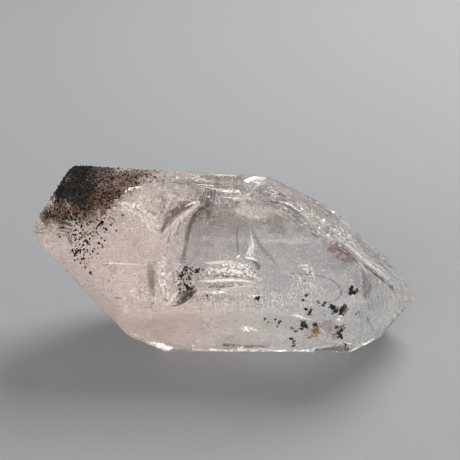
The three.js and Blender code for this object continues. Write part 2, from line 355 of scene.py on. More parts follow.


# The stained end, and the painted shade that greys the top, the long slope and the upper middle: pixel,
# radius in mm and strength of each lump of the black, the brown and the painted shade. A lump has all its
# strength in its inner part.
INNER_PART = 0.4
BLACK_LUMPS = [
    (80, 170, 6.5, 1), (95, 167, 5.0, 1), (70, 182, 5.0, 1), (86, 182, 4.6, 1), (60, 186, 3.6, 1),
    (72, 194, 3.6, 0.8), (64, 176, 3.6, 1),
]
BROWN_LUMPS = [
    (105, 176, 5.0, 1), (125, 178, 4.2, 1), (142, 174, 2.6, 1), (98, 196, 4.4, 1), (82, 208, 4.6, 1),
    (60, 213, 4.4, 1), (46, 216, 3.0, 1), (112, 188, 4.5, 1), (126, 184, 3.6, 1), (40, 214, 2.2, 1),
    (96, 208, 3.0, 0.6),
]
# Painted shade: these lumps grey the crystal's colour on the top, the long slope and the upper middle.
PAINTED_SHADE_LUMPS = [
    (205, 228, 6, 0.7), (232, 228, 7, 0.6), (262, 230, 7, 0.4), (292, 238, 7, 0.3), (322, 246, 7, 0.4),
    (340, 254, 5, 0.8), (300, 195, 6, 0.9), (328, 214, 7, 1), (356, 238, 7, 1), (384, 264, 6, 0.9),
    (312, 204, 6, 0.9), (342, 226, 7, 1), (372, 252, 6, 0.9), (366, 278, 5, 0.5), (378, 300, 5, 0.4),
    (178, 180, 6, 0.3), (205, 184, 7, 0.5), (235, 188, 7, 0.5), (268, 194, 7, 0.5), (40, 224, 5, 0.4),
]


# Writes how much each vertex of a mesh is of something, from 0 to 1, as an attribute.
def mark(mesh, name, share_of):
    values = [share_of(vertex.co) for vertex in mesh.vertices]
    mesh.attributes.new(name, "FLOAT", "POINT").data.foreach_set("value", values)


# How much a point is in one of some lumps, from 0 to 1.
def lump_share(lumps):
    centres = [(sight(x, y, flat_faces)[0], radius * MM, most) for x, y, radius, most in lumps]

    def share(spot):
        return max(
            most * (1 - smooth_step(INNER_PART, 1, (spot - centre).length / radius))
            for centre, radius, most in centres
        )

    return share


mark(relief, "black", lump_share(BLACK_LUMPS))
mark(relief, "brown", lump_share(BROWN_LUMPS))
mark(relief, "smoke", lump_share(PAINTED_SHADE_LUMPS))


# A material with its Principled shader, given by the values of the shader's sockets.
def finish_with(name, **sockets):
    material = bpy.data.materials.new(name)
    material.use_nodes = True
    shader = material.node_tree.nodes["Principled BSDF"]
    for socket, value in sockets.items():
        shader.inputs[socket.replace("_", " ")].default_value = value
    return material, material.node_tree, shader


# Adds a node to a tree. A setting is a property of the node, and an input is named or numbered:
# a socket is linked to it and anything else becomes its value.
def add(tree, kind, inputs=None, **settings):
    node = tree.nodes.new(kind)
    for name, value in settings.items():
        setattr(node, name, value)
    for name, value in (inputs or {}).items():
        if isinstance(value, bpy.types.NodeSocket):
            tree.links.new(value, node.inputs[name])
        else:
            node.inputs[name].default_value = value
    return node


# A number from an attribute of the mesh.
def marked(tree, name):
    return add(tree, "ShaderNodeAttribute", attribute_name=name).outputs["Fac"]


# Noise in the object's own coordinates. `size` is the size of its spots in mm.
def spots(tree, size, detail=3.0, stretch=(1, 1, 1)):
    coordinates = add(tree, "ShaderNodeTexCoord").outputs["Object"]
    turned = add(tree, "ShaderNodeMapping", {"Vector": coordinates, "Scale": stretch})
    field = add(tree, "ShaderNodeTexNoise", {
        "Vector": turned.outputs["Vector"], "Scale": 1 / (size * MM), "Detail": detail,
    })
    return field.outputs["Fac"]


# How far a point is towards the pale pointed end, from 0 to 1.
def towards_point(tree):
    coordinates = add(tree, "ShaderNodeTexCoord").outputs["Object"]
    place = add(tree, "ShaderNodeSeparateXYZ", {"Vector": coordinates})
    return ramp(tree, place.outputs["X"], ROSY_UP_TO * MM, PALE_FROM * MM)


# The result of a sum on two values.
def calculate(tree, operation, first, second):
    return add(tree, "ShaderNodeMath", {0: first, 1: second}, operation=operation).outputs[0]


# A number that goes from 0 to 1 as the value goes from low to high.
def ramp(tree, value, low, high):
    return add(tree, "ShaderNodeMapRange", {
        "Value": value, "From Min": low, "From Max": high,
    }, interpolation_type="SMOOTHSTEP").outputs["Result"]


# A colour mixed from two, with the share of the second.
def mixed(tree, share, first, second):
    node = add(tree, "ShaderNodeMix", data_type="RGBA")
    for socket, value in (("Factor_Float", share), ("A_Color", first), ("B_Color", second)):
        target = next(s for s in node.inputs if s.identifier == socket)
        if isinstance(value, bpy.types.NodeSocket):
            tree.links.new(value, target)
        else:
            target.default_value = value
    return next(s for s in node.outputs if s.identifier == "Result_Color")


# The crystal is rosy up to one place on its long axis and pale from another, in mm. The stains
# have a ragged edge of grit. The skin's roughness varies in dull and glossy spots, and its etching
# is finer than the relief. Light is absorbed a little on its way, most in the blue.
ROSY_UP_TO = -10
PALE_FROM = 16
PALE = (0.95, 0.94, 0.93, 1)
ROSY = (0.97, 0.9, 0.86, 1)
PAINTED_SHADE_GREY = (0.52, 0.5, 0.49, 1)
UMBER = (0.26, 0.15, 0.085, 1)
SOOT = (0.008, 0.006, 0.005, 1)
CLEARNESS = 0.99
GRIT_SIZE = 0.9
GRIT_EDGE = (0.36, 0.64)
STAIN_GAIN = 1.5
STAIN_EDGE = (1.0, 1.6)
DULL_SPOT_SIZE = 3
DULL_SPOT_EDGE = (0.35, 0.7)
GLOSSY = 0.03
DULL = 0.15
MEAN_ROUGHNESS = 0.08
ETCHING_SIZE = 1.2
ETCHING_STRETCH = (0.4, 1, 1)
ETCHING_DEPTH = 0.14
ETCHING_STRENGTH = 0.3
ABSORPTION_COLOUR = (0.86, 0.74, 0.66, 1)
ABSORPTION_DENSITY = 8.0

quartz, tree, shader = finish_with(
    "milky_quartz", Transmission_Weight=CLEARNESS, IOR=QUARTZ_IOR, Roughness=MEAN_ROUGHNESS
)
body = mixed(tree, towards_point(tree), ROSY, PALE)
# Painted shade: grey is mixed into the colour where the top, the long slope and the upper middle are lit
# brightly.
body = mixed(tree, marked(tree, "smoke"), body, PAINTED_SHADE_GREY)
grit = ramp(tree, spots(tree, GRIT_SIZE, 6), *GRIT_EDGE)
for name, colour in (("brown", UMBER), ("black", SOOT)):
    share = calculate(tree, "ADD", calculate(tree, "MULTIPLY", marked(tree, name), STAIN_GAIN), grit)
    body = mixed(tree, ramp(tree, share, *STAIN_EDGE), body, colour)
tree.links.new(body, shader.inputs["Base Color"])
rough = add(tree, "ShaderNodeMapRange", {
    "Value": spots(tree, DULL_SPOT_SIZE, 4),
    "From Min": DULL_SPOT_EDGE[0],
    "From Max": DULL_SPOT_EDGE[1],
    "To Min": GLOSSY,
    "To Max": DULL,
})
tree.links.new(rough.outputs["Result"], shader.inputs["Roughness"])
etching = add(tree, "ShaderNodeBump", {
    "Height": spots(tree, ETCHING_SIZE, 6, ETCHING_STRETCH),
    "Strength": ETCHING_STRENGTH,
    "Distance": ETCHING_DEPTH * MM,
})
tree.links.new(etching.outputs["Normal"], shader.inputs["Normal"])
absorption = add(tree, "ShaderNodeVolumeAbsorption", {
    "Color": ABSORPTION_COLOUR, "Density": ABSORPTION_DENSITY,
})
tree.links.new(absorption.outputs["Volume"], tree.nodes["Material Output"].inputs["Volume"])
relief.materials.clear()
relief.materials.append(quartz)

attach(crystal, "root")
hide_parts("quartz_crystal")


# Milk. Tiny bubbles of liquid, caught in clouds as the crystal grew, make it misty at the blunt
# end, along the bottom and near the tip, and leave the middle clear. Each bubble is a flat-sided
# hollow, a few tenths of a millimetre wide.
BUBBLE_SIZES = (0.16, 0.40)
BUBBLE_COVER = 0.3
MOST_BUBBLES = 49000
BUBBLE_TRIES = 130000
ROSY_MILK = (0.99, 0.935, 0.905, 1)
PALE_MILK = (0.97, 0.968, 0.955, 1)
# The box that each cloud of bubbles lies in: its lowest and highest corner in mm.
MILK_CLOUDS = {
    "blunt_end": ((-40, -17, 0), (-17, 17, 36)),
    "middle": ((-17, -17, 0), (8, 17, 36)),
    "pointed_end": ((8, -17, 0), (40, 17, 36)),
    "low_front": ((-24, -17, 0), (16, -8, 14)),
}
MILK_DRAW_SEED = 40
MILK_TURN_SEED = 9
# Where the milk comes in and where it is full, in mm out towards the zone's side, and its strength
# there. It thins again at the very end of the blunt end, and in front it comes in downwards too.
MILK_ZONES = {
    "blunt_end": ((6, 20), 1.0),
    "blunt_thinning": ((29, 37), 0.55),
    "bottom": ((-10, -5), 0.8),
    "front": ((6, 11), 1.0),
    "front_downwards": ((-18, -14), 1.0),
    "tip": ((23, 32), 0.25),
    "back": ((5, 12), 0.1),
}
LEAST_MILK = 0.01
# The milk is uneven: the size of its clouds in mm, its least and most share, and the noise between
# which it goes from one to the other.
CLOUD_SIZE = 5.0
CLOUD_SHARES = (0.3, 1.7)
CLOUD_EDGE = (-0.25, 0.5)


# How strong the milk of a zone is at a place out towards its side.
def milk_zone(name, out):
    bounds, most = MILK_ZONES[name]
    return most * smooth_step(*bounds, out)


# How milky the crystal is at a point, from 0 to 1.
def milkiness(spot):
    x, y, z = spot / MM
    most = max(
        milk_zone("blunt_end", -x) * (1 - milk_zone("blunt_thinning", -x)),
        milk_zone("bottom", -z),
        milk_zone("front", -y) * milk_zone("front_downwards", -z),
        milk_zone("tip", x),
        milk_zone("back", y),
        LEAST_MILK,
    )
    thin, thick = CLOUD_SHARES
    cloud = smooth_step(*CLOUD_EDGE, noise.fractal(spot / (CLOUD_SIZE * MM), *FRACTAL))
    return min(most * (thin + (thick - thin) * cloud), 1)


# Points with a size, spread over a box of the crystal as thickly as it is milky there.
def milky_points(low, high, draw):
    found = []
    for _ in range(BUBBLE_TRIES):
        spot = Vector([draw.uniform(*span) for span in zip(low, high)]) * MM
        if draw.random() > milkiness(spot):
            continue
        _, roof, _, _ = flat_faces.ray_cast(spot, Vector((0, 0, 1)))
        near, _, _, _ = flat_faces.find_nearest(spot)
        if roof is not None and roof.z > 0 and (spot - near).length > BUBBLE_COVER * MM:
            found.append((spot, draw.uniform(*BUBBLE_SIZES) * MM))
    return found[:MOST_BUBBLES]


# How much nearer or farther than even the corners of a mineral lump are.
UNEVENNESS = (0.7, 1.2)


# A lump of mineral, about one unit wide, with uneven corners.
def rough_grain(name, subdivisions, seed):
    lump = bmesh.new()
    bmesh.ops.create_icosphere(lump, subdivisions=subdivisions, radius=0.5)
    draw = random.Random(seed)
    for vertex in lump.verts:
        vertex.co *= draw.uniform(*UNEVENNESS)
    mesh = bpy.data.meshes.new(name)
    lump.to_mesh(mesh)
    lump.free()
    return placed(name, mesh)


# A tree that puts a turned copy of the grain on every point, as large as the point's `size`.
def sowing_tree():
    tree = bpy.data.node_groups.new("sow_grains", "GeometryNodeTree")
    face = tree.interface
    face.new_socket("Geometry", in_out="INPUT", socket_type="NodeSocketGeometry")
    face.new_socket("Grain", in_out="INPUT", socket_type="NodeSocketObject")
    face.new_socket("Seed", in_out="INPUT", socket_type="NodeSocketInt")
    face.new_socket("Finish", in_out="INPUT", socket_type="NodeSocketMaterial")
    face.new_socket("Geometry", in_out="OUTPUT", socket_type="NodeSocketGeometry")
    given = tree.nodes.new("NodeGroupInput").outputs
    grain = add(tree, "GeometryNodeObjectInfo", {"Object": given["Grain"]})
    size = add(tree, "GeometryNodeInputNamedAttribute", {"Name": "size"}, data_type="FLOAT")
    turn = add(tree, "FunctionNodeRandomValue", {"Seed": given["Seed"]}, data_type="FLOAT_VECTOR")
    turn.inputs["Max"].default_value = (math.tau, math.tau, math.tau)
    sown = add(tree, "GeometryNodeInstanceOnPoints", {
        "Points": given["Geometry"],
        "Instance": grain.outputs["Geometry"],
        "Rotation": turn.outputs["Value"],
        "Scale": size.outputs["Attribute"],
    })
    real = add(tree, "GeometryNodeRealizeInstances", {"Geometry": sown.outputs["Instances"]})
    done = add(tree, "GeometryNodeSetMaterial", {
        "Geometry": real.outputs["Geometry"], "Material": given["Finish"],
    })
    result = tree.nodes.new("NodeGroupOutput")
    tree.links.new(done.outputs["Geometry"], result.inputs["Geometry"])
    return tree


sow_grains = sowing_tree()


# Sets the inputs of a Geometry Nodes modifier by their names in the tree's interface.
def with_inputs(piece, tree, **values):
    modifier = piece.modifiers.new(tree.name, "NODES")
    modifier.node_group = tree
    for item in tree.interface.items_tree:
        if item.item_type == "SOCKET" and item.in_out == "INPUT" and item.name in values:
            modifier[item.identifier] = values[item.name]
    return piece


# One piece of many grains: each is a point and a size, both in metres.
def sown(name, grains, grain, finish, seed):
    mesh = bpy.data.meshes.new(name)
    mesh.from_pydata([spot for spot, _ in grains], [], [])
    sizes = [size for _, size in grains]
    mesh.attributes.new("size", "FLOAT", "POINT").data.foreach_set("value", sizes)
    piece = placed(name, mesh)
    with_inputs(piece, sow_grains, Grain=grain, Seed=seed, Finish=finish)
    settled(piece)
    bpy.data.objects.remove(grain)
    return piece


# A flat-sided hollow with four faces, about one unit wide.
def small_hollow():
    hollow = bmesh.new()
    bmesh.ops.create_cone(hollow, segments=3, radius1=0.5, radius2=0, depth=0.7, cap_ends=True)
    mesh = bpy.data.meshes.new("small_hollow")
    hollow.to_mesh(mesh)
    hollow.free()
    return placed("small_hollow", mesh)


milk, tree, shader = finish_with("milky_bubbles", Roughness=0.5)
tint = mixed(tree, towards_point(tree), ROSY_MILK, PALE_MILK)
tree.links.new(tint, shader.inputs["Base Color"])
for number, (name, (low, high)) in enumerate(MILK_CLOUDS.items()):
    bubbles = milky_points(low, high, random.Random(MILK_DRAW_SEED + number))
    cloud = sown(f"milk_{name}", bubbles, small_hollow(), milk, MILK_TURN_SEED + number)
    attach(cloud, "root")


# Black grains. Small crusts of a black mineral that settled on the crystal while it grew and were
# sealed in: a dense crowd in the blunt end, loose specks under it, and sprays near the bottom.

# Clusters of grains: a pixel, how far the cluster spreads in pixels across and down, and how many
# grains it has. The grains' sizes and depths are in mm.
BLACK_CROWD = [
    (80, 172, (10, 4), 1500), (72, 184, (8, 6), 1200), (86, 184, (6, 6), 700), (60, 194, (4, 6), 420),
    (82, 202, (7, 5), 500), (106, 178, (9, 5), 260), (135, 176, (10, 4), 130), (102, 196, (7, 5), 120),
    (50, 214, (5, 4), 130), (70, 214, (10, 4), 220),
]
CROWD_SIZES = (0.2, 0.6)
CROWD_DEPTHS = (-0.08, 0.4)
LOOSE_SPECKS = [
    (75, 228, (8, 7), 70), (92, 228, (9, 9), 80), (84, 245, (9, 7), 80), (98, 222, (9, 6), 40),
    (82, 255, (7, 4), 34), (112, 220, (4, 4), 14), (85, 268, (3, 3), 8), (74, 251, (5, 2), 16),
    (152, 178, (6, 5), 18), (130, 178, (10, 6), 60), (118, 188, (8, 6), 44), (112, 202, (8, 5), 20),
    (187, 271, (5, 5), 56), (184, 280, (6, 6), 50), (198, 270, (3, 1), 8),
    (188, 291, (4, 4), 30), (208, 297, (4, 3), 9),
]
SPECK_SIZES = (0.2, 0.65)
SPECK_DEPTHS = (-0.04, 0.12)
# Single black crusts: pixel and width in pixels.
CRUSTS = [
    (258, 298, 3.4), (265, 319, 2.2), (268, 322, 1.6), (275, 320, 2.6), (279, 322, 3.0),
    (277, 326, 1.8), (292, 328, 2.6), (295, 331, 2.8), (292, 339, 3.0), (294, 341, 2.4),
    (293, 345, 3.4), (302, 323, 4.0), (304, 327, 4.2), (301, 329, 2.4), (306, 309, 2.6),
    (310, 312, 3.2), (309, 314, 2.2), (315, 325, 3.4), (303, 300, 2.0), (306, 295, 2.6),
    (318, 302, 2.4), (323, 305, 2.8), (325, 303, 2.0), (332, 308, 4.4), (336, 311, 3.2),
    (341, 309, 4.0), (344, 306, 3.4), (340, 313, 3.6), (352, 291, 4.4), (355, 293, 3.2),
    (357, 289, 2.0), (337, 327, 2.8), (342, 329, 3.6), (339, 334, 3.6), (341, 337, 3.2),
    (345, 345, 2.6), (356, 314, 1.8), (359, 312, 1.6), (72, 251, 2.4), (76, 253, 2.0),
    (91, 273, 3.0), (99, 225, 2.2), (102, 222, 2.6), (109, 280, 1.6), (198, 271, 3.6),
    (187, 287, 3.2), (191, 289, 2.8), (186, 268, 3.0),
]
# The grains of a crust: how many there are, how far they stray from its pixel across and down, as
# a share of its width, their depths in mm and how far these stray, and their share of its width.
CRUST_GRAINS = 9
CRUST_STRAY = (1 / 3, 1 / 3.4)
CRUST_DEPTHS = (0.05, 0.2)
CRUST_DEPTH_STRAY = (-0.15, 0.15)
CRUST_GRAIN_SHARES = (0.3, 0.9)
BLACK = (0.005, 0.0045, 0.004, 1)
BROWNISH_BLACK = (0.035, 0.027, 0.021, 1)
# Most grains are small: the power that spreads their sizes.
SMALL_GRAINS = 2.5


# The grains of some clusters.
def clusters(draw, places, sizes, depths):
    grains = []
    for across, down, spread, count in places:
        for _ in range(count):
            x = draw.gauss(across, spread[0])
            y = draw.gauss(down, spread[1])
            size = sizes[0] + (sizes[1] - sizes[0]) * draw.random() ** SMALL_GRAINS
            grains.append((inside(x, y, draw.uniform(*depths)), size * MM))
    return grains


# A finish in two tones of one mineral, in spots of a size in mm, with the noise between which one
# tone goes over to the other.
def two_toned(name, size, edge, first, second, **sockets):
    material, tree, shader = finish_with(name, **sockets)
    tone = mixed(tree, ramp(tree, spots(tree, size), *edge), first, second)
    tree.links.new(tone, shader.inputs["Base Color"])
    return material


black = two_toned(
    "black_mineral", 0.5, (0.4, 0.7), BLACK, BROWNISH_BLACK, Roughness=0.75, Specular_IOR_Level=0.1
)
draw = random.Random(11)
crowd = clusters(draw, BLACK_CROWD, CROWD_SIZES, CROWD_DEPTHS)
specks = clusters(draw, LOOSE_SPECKS, SPECK_SIZES, SPECK_DEPTHS)
crusts = []
for x, y, width in CRUSTS:
    depth = draw.uniform(*CRUST_DEPTHS)
    for _ in range(CRUST_GRAINS):
        spot = inside(
            x + draw.gauss(0, width * CRUST_STRAY[0]),
            y + draw.gauss(0, width * CRUST_STRAY[1]),
            depth + draw.uniform(*CRUST_DEPTH_STRAY),
        )
        crusts.append((spot, width * PIXEL_MM * draw.uniform(*CRUST_GRAIN_SHARES) * MM))
black_crowd = sown("black_crowd", crowd, rough_grain("crowd_grain", 1, 3), black, 5)
black_specks = sown("black_specks", specks, rough_grain("speck_grain", 1, 4), black, 6)
black_crusts = sown("black_crusts", crusts, rough_grain("crust_grain", 2, 8), black, 7)
for piece in (black_crowd, black_specks, black_crusts):
    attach(piece, "root")


# Healed cracks, growth films and painted light. Where the crystal cracked and healed again, or paused in
# its growth, a thin film of liquid or iron stays in it. The films lie just under the front: along the
# conchoidal scar, as streaks across the clear middle, and as swirls near the pointed end. Many of the white
# films are painted highlights and glints, and many of the dark ones are painted shade, above all along the
# scar's rim.
FILM_STEPS = 4
FILM_CROSS = 4
# A film lies deeper on one side, by this share of its depth either way, and it fades to its ends
# and to its sides by these powers.
FILM_SLANT = 0.4
FILM_END_FADE = 0.4
FILM_SIDE_FADE = 4
# Each film is a narrow curved sheet: its route is pixels with a width in pixels, then come its
# strength and its depth in mm.
# The bright films are partly healed cracks and streaks and partly painted highlights: the lit rim of the
# scar, the spike's glint, the glints of the top strip and the shards on the slope.
BRIGHT_FILMS = [
    ([(160, 240, 2), (166, 231, 6), (176, 222, 7), (186, 214, 6), (196, 206, 4), (202, 203, 1)],
     1.0, 0.07),
    ([(184, 207, 1), (193, 203, 4), (201, 202, 2)], 1.0, 0.052),
    ([(250, 226, 0.6), (251, 234, 1.4), (252, 241, 2.4), (252.6, 246, 4.4), (252, 251, 4.4), (253, 257, 2)],
     1.0, 0.042),
    ([(252, 241, 0.8), (250.5, 246, 2), (248.5, 251, 3.4), (246.5, 256, 4)], 1.0, 0.042),
    ([(251, 247, 1), (250, 252, 2.4), (250, 258, 2.4)], 1.0, 0.042),
    ([(243.5, 255, 1.4), (247, 257.4, 3.6), (252, 258.4, 3.4), (258, 261.4, 2)], 1.0, 0.042),
    ([(235, 258, 1), (238, 256.6, 3.6), (240.6, 254.6, 1)], 1.0, 0.042),
    ([(229, 198, 4), (237, 199, 8), (246, 200, 4)], 0.6, 0.042),
    ([(318, 327, 1), (323, 331, 4), (328, 337, 1)], 1.0, 0.1),
    ([(289, 314, 2), (297, 316, 5), (308, 320, 2)], 1.0, 0.042),
    ([(105, 206, 1), (118, 203, 2.4), (131, 205, 3), (142, 210, 3), (150, 219, 3), (156, 229, 1)],
     0.7, 0.1),
    ([(112, 212, 1), (124, 209, 2), (136, 214, 2.6), (146, 223, 2), (150, 232, 1)], 0.6, 0.1),
    ([(96, 264, 1), (112, 263, 1.8), (130, 264, 1.8), (148, 264, 1)], 0.6, 0.07),
    ([(198, 262, 1), (212, 263, 4), (228, 262, 5), (240, 266, 4), (252, 271, 1)], 0.8, 0.17),
    ([(200, 271, 1), (216, 270, 5), (232, 271, 6), (250, 275, 4), (262, 281, 1)], 0.9, 0.21),
    ([(195, 281, 1), (210, 281, 4), (228, 280, 4), (246, 281, 3), (258, 285, 1)], 1.0, 0.14),
    ([(196, 290, 1), (208, 292, 4), (222, 292, 4), (236, 287, 3), (262, 286, 1)], 1.0, 0.1),
    ([(288, 311, 1), (296, 314, 4), (304, 318, 4), (320, 321, 1)], 1.0, 0.07),
    ([(368, 283, 1), (377, 278, 3), (386, 282, 3), (391, 292, 3), (388, 304, 3), (381, 312, 1)], 0.7, 0.1),
    ([(374, 292, 1), (379, 288, 2.4), (384, 292, 2.4), (383, 300, 2), (377, 304, 1)], 0.6, 0.1),
    ([(357, 260, 1), (364, 268, 4), (368, 276, 1)], 1.0, 0.052),
    ([(346, 243, 1), (356, 252, 2.6), (366, 262, 2.6), (378, 272, 1)], 0.8, 0.07),
    ([(380, 262, 1), (390, 270, 2), (400, 280, 1)], 0.8, 0.052),
    ([(362, 259, 1), (374, 269, 2), (386, 278, 2), (396, 288, 1)], 0.6, 0.042),
    ([(336, 240, 0.6), (352, 250, 1.6), (362, 259, 1)], 0.5, 0.042),
    ([(193, 176, 1), (197, 177, 3), (201, 178, 1)], 1.0, 0.035),
    ([(201, 179, 1), (204, 180, 3), (208, 182, 1)], 1.0, 0.035),
    ([(198, 186, 0.6), (212, 188.5, 1.6), (226, 191, 1.6), (240, 191, 0.6)], 1.0, 0.035),
    ([(222, 191, 3), (224, 191, 4), (226, 191, 3)], 1.0, 0.03),
    ([(235, 191, 3), (237, 191, 4), (239, 191, 3)], 1.0, 0.03),
    ([(245, 197, 2), (249, 194, 4), (252, 191, 2)], 1.0, 0.035),
    ([(253, 189, 2), (257, 186, 5), (260, 183, 2)], 1.0, 0.035),
    ([(259, 181, 2), (263, 179, 4), (266, 177, 1)], 1.0, 0.035),
    ([(186, 183, 1), (186, 187, 2.4), (186, 191, 1)], 1.0, 0.035),
    ([(163, 250, 3), (160, 262, 6), (160, 276, 7), (163, 290, 6), (168, 302, 2)], 0.6, 0.07),
    ([(166, 306, 1), (172, 299, 4), (178, 291, 3)], 1.0, 0.07),
]
# The dark films are partly dark inclusions and partly painted shade: the dark arcs along the scar's rim,
# the shade beside the crumbled column and along the top's ledges, and the outlines of the spike.
DARK_FILMS = [
    ([(161, 234, 2), (165, 225, 6), (171, 215, 9), (181, 208, 10), (192, 204, 7), (204, 202, 3)], 1.0, 0.1),
    ([(214, 203, 5), (207, 206, 10), (198, 213, 7), (192, 221, 6), (188, 232, 7), (186, 246, 5)], 1.0, 0.1),
    ([(186, 244, 4), (184, 254, 5), (180, 264, 2)], 0.7, 0.14),
    ([(210, 204, 8), (209, 211, 8), (207, 219, 2)], 0.85, 0.1),
    ([(171, 229, 1), (169, 238, 2), (166, 250, 1)], 0.7, 0.087),
    ([(150, 262, 6), (151, 275, 10), (152, 288, 8), (154, 297, 3)], 0.6, 0.21),
    ([(175, 305, 1), (182, 300, 8), (189, 294, 12), (196, 287, 5)], 1.0, 0.1),
    ([(168, 306, 1), (178, 305, 2.4), (188, 299, 3), (197, 290, 1.4)], 0.9, 0.087),
    ([(112, 298, 1), (118, 298, 2.4), (125, 298, 1)], 0.6, 0.087),
    ([(53, 219, 1), (65, 223, 3.4), (77, 228, 1)], 0.85, 0.07),
    ([(40, 222, 1), (50, 217, 3), (60, 215, 2)], 0.6, 0.07),
    ([(67, 236, 1), (70, 240, 5), (72, 247, 2)], 0.6, 0.087),
    ([(197, 183.5, 1), (206, 185, 2.6), (216, 187, 2.4), (226, 188.5, 1)], 1.0, 0.042),
    ([(228, 201, 1), (235, 202, 2.4), (242, 203, 1)], 0.9, 0.042),
    ([(166, 182, 1), (178, 183, 1.6), (190, 185, 1)], 0.6, 0.042),
    ([(247, 211, 1), (241, 219, 1.6), (237, 232, 1.6), (238, 248, 1.6), (236, 262, 1)], 0.6, 0.1),
    ([(249, 222, 1), (255, 236, 4), (262, 248, 5), (270, 257, 5), (278, 266, 1)], 0.5, 0.17),
    ([(251, 260, 2), (256, 263, 4), (259, 267, 5), (256, 270, 2)], 0.9, 0.1),
    ([(331, 315, 2), (335, 311, 6), (340, 307, 2)], 0.75, 0.1),
    ([(339, 316, 2), (343, 312, 7), (349, 308, 2)], 0.75, 0.1),
    ([(300, 323, 3), (304, 324, 6), (309, 329, 3)], 0.9, 0.1),
    ([(338, 328, 1), (342, 326, 3), (346, 324, 1)], 0.75, 0.1),
    ([(339, 333, 2), (341, 336, 4), (343, 340, 2)], 0.8, 0.1),
    ([(283, 273, 1), (302, 274, 1.8), (320, 276, 1.8), (333, 281, 2.2), (341, 290, 2.6),
      (339, 297, 2.4), (330, 302, 1.8), (316, 303, 1.6), (303, 300, 1)], 0.6, 0.1),
    ([(336, 232, 1), (344, 237, 3), (351, 243, 1)], 0.95, 0.052),
    ([(203, 276, 1), (222, 276, 2), (244, 277, 1)], 0.7, 0.12),
    ([(202, 287, 1), (218, 287, 2), (240, 286, 1)], 0.65, 0.1),
    ([(258, 188, 1), (270, 191, 3), (284, 196, 3), (298, 204, 1)], 0.6, 0.052),
    ([(262, 199, 1), (274, 202, 3), (288, 207, 2), (300, 212, 1)], 0.6, 0.052),
    ([(365, 275, 2), (369, 286, 4), (368, 302, 2)], 0.45, 0.1),
    ([(360, 262, 1), (372, 272, 2), (384, 281, 2.4), (394, 291, 2), (397, 300, 1)], 0.95, 0.052),
    ([(362, 268, 1), (364, 278, 4), (365, 290, 5), (366, 302, 2)], 0.5, 0.1),
    ([(334, 247, 1), (346, 254, 2), (358, 262, 1)], 0.8, 0.052),
]
RUST_FILMS = [
    ([(322, 238, 4), (331, 246, 14), (341, 254, 18), (350, 258, 14), (358, 262, 4)], 0.8, 0.07),
    ([(284, 192, 3), (302, 205, 14), (322, 220, 16), (340, 234, 10)], 0.5, 0.052),
    ([(190, 264, 3), (194, 255, 9), (202, 251, 7), (206, 258, 7), (200, 266, 3)], 0.4, 0.1),
    ([(306, 340, 3), (310, 333, 9), (318, 330, 12), (328, 333, 8), (334, 340, 3)], 0.4, 0.12),
    ([(158, 177, 3), (186, 181, 10), (216, 186, 12), (250, 189, 4)], 0.5, 0.07),
    ([(318, 326, 3), (328, 324, 12), (336, 332, 12), (334, 341, 4)], 0.55, 0.07),
    ([(228, 197, 4), (237, 199, 9), (247, 201, 7), (258, 204, 2)], 0.6, 0.052),
    ([(250, 186, 4), (270, 193, 15), (285, 200, 14), (303, 213, 5)], 0.7, 0.052),
    ([(206, 188, 2), (214, 193, 6), (226, 196, 4)], 0.5, 0.052),
]


# Curved sheets under the surface, all of one finish, as one piece.
def films(name, routes, finish):
    sheet = bmesh.new()
    strengths = []
    for route, strength, depth in routes:
        stations = curve_through(route, FILM_STEPS)
        rows = []
        for number, station in enumerate(stations):
            ahead = stations[min(number + 1, len(stations) - 1)] - stations[max(number - 1, 0)]
            side = Vector((-ahead.y, ahead.x)).normalized()
            ends = math.sin(math.pi * (number / (len(stations) - 1))) ** FILM_END_FADE
            row = []
            for cross in range(FILM_CROSS + 1):
                share = cross / FILM_CROSS * 2 - 1
                x = station.x + side.x * share * station.z / 2
                y = station.y + side.y * share * station.z / 2
                row.append(sheet.verts.new(inside(x, y, depth * (1 + FILM_SLANT * share))))
                strengths.append(strength * ends * (1 - share**FILM_SIDE_FADE))
            rows.append(row)
        for near, far in zip(rows, rows[1:]):
            for cross in range(FILM_CROSS):
                sheet.faces.new((near[cross], near[cross + 1], far[cross + 1], far[cross]))
    mesh = bpy.data.meshes.new(name)
    sheet.to_mesh(mesh)
    sheet.free()
    mesh.attributes.new("strength", "FLOAT", "POINT").data.foreach_set("value", strengths)
    mesh.materials.append(finish)
    mesh.shade_smooth()
    return placed(name, mesh)


# A film's finish: in patches of a size in mm, which the noise makes empty up to `none` and full
# from `full` on.
def film_finish(name, colour, roughness, patch, none, full):
    material, tree, shader = finish_with(name, Base_Color=colour, Roughness=roughness)
    patches = ramp(tree, spots(tree, patch, 5), none, full)
    thickness = calculate(tree, "MULTIPLY", marked(tree, "strength"), patches)
    tree.links.new(thickness, shader.inputs["Alpha"])
    return material


# Fine hatching of short films, all one way in each zone: dark zones, bright ones, and those that have both.
# Each gives its first and last column and row in pixels, the share of a row that it falls for each column,
# the strokes' direction in degrees down from level, their length and width in pixels, how many there are
# and their most strength. The bright strokes are partly painted glints and the dark ones partly painted
# shade.
DARK_HATCHES = [
    ((197, 215), (190, 199), 0.05, 97, (8, 13), (0.8, 1.8), 30, 1.0),
    ((38, 76), (214, 234), 0.1, 12, (5, 18), (0.6, 1.6), 40, 0.7),
    ((150, 166), (196, 216), 0.0, 60, (3, 10), (0.6, 1.4), 24, 0.7),
    ((160, 180), (200, 240), 0.0, 118, (6, 18), (0.6, 1.6), 30, 0.9),
    ((178, 196), (285, 304), 0.0, 140, (4, 10), (0.8, 2.0), 30, 0.9),
]
